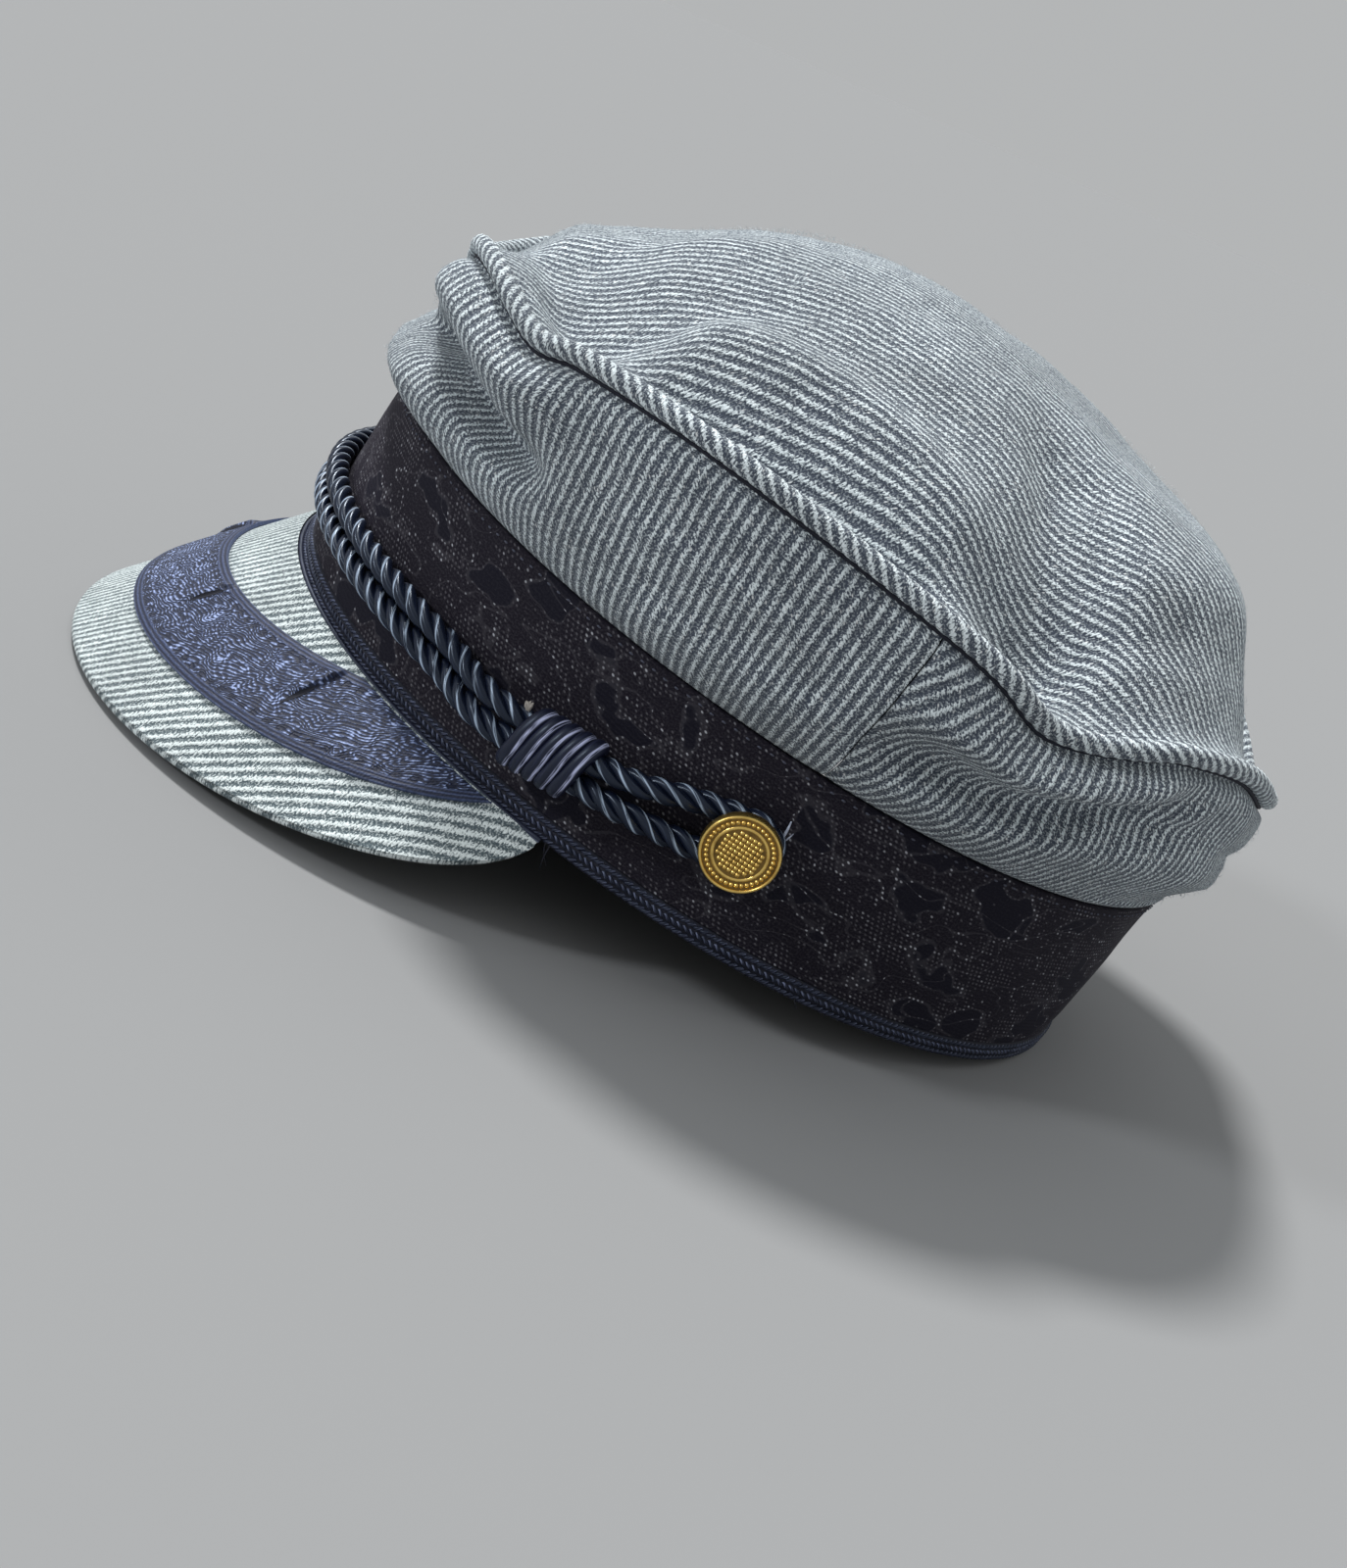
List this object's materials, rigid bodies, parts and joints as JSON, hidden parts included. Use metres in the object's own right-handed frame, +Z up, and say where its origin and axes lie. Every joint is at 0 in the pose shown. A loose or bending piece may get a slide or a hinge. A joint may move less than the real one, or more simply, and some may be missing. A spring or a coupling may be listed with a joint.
{
  "type": "fisherman cap",
  "caption": "Soft fisherman cap with a creased, piped crown, woven headband, sloping visor with ribbon, twisted cord with knots and side buttons.",
  "frame": {"origin": "middle of the bounding box's base, on the surface that the cap rests on", "axes": "+Z up; -Y the way the visor points; +X the wearer's left; the rim is leaned back as the cap rests"},
  "size_m": [0.2102, 0.2732, 0.145],
  "materials": {
    "striped_cloth": "brushed, striped",
    "band_cloth": "patterned weave",
    "ribbon_cloth": "patterned weave",
    "cord_satin": "satin",
    "brass": "satin"
  },
  "bodies": {
    "root": {"crown_top": "striped_cloth", "crown_front_panel": "striped_cloth", "crown_back_panel": "striped_cloth", "crown_piping": "striped_cloth", "headband": "band_cloth", "headband_hem": "band_cloth", "visor": "striped_cloth", "visor_ribbon": "ribbon_cloth", "cord": "cord_satin", "knot_left": "cord_satin", "knot_right": "cord_satin", "button_left": "brass", "button_right": "brass"}
  },
  "joints": []
}
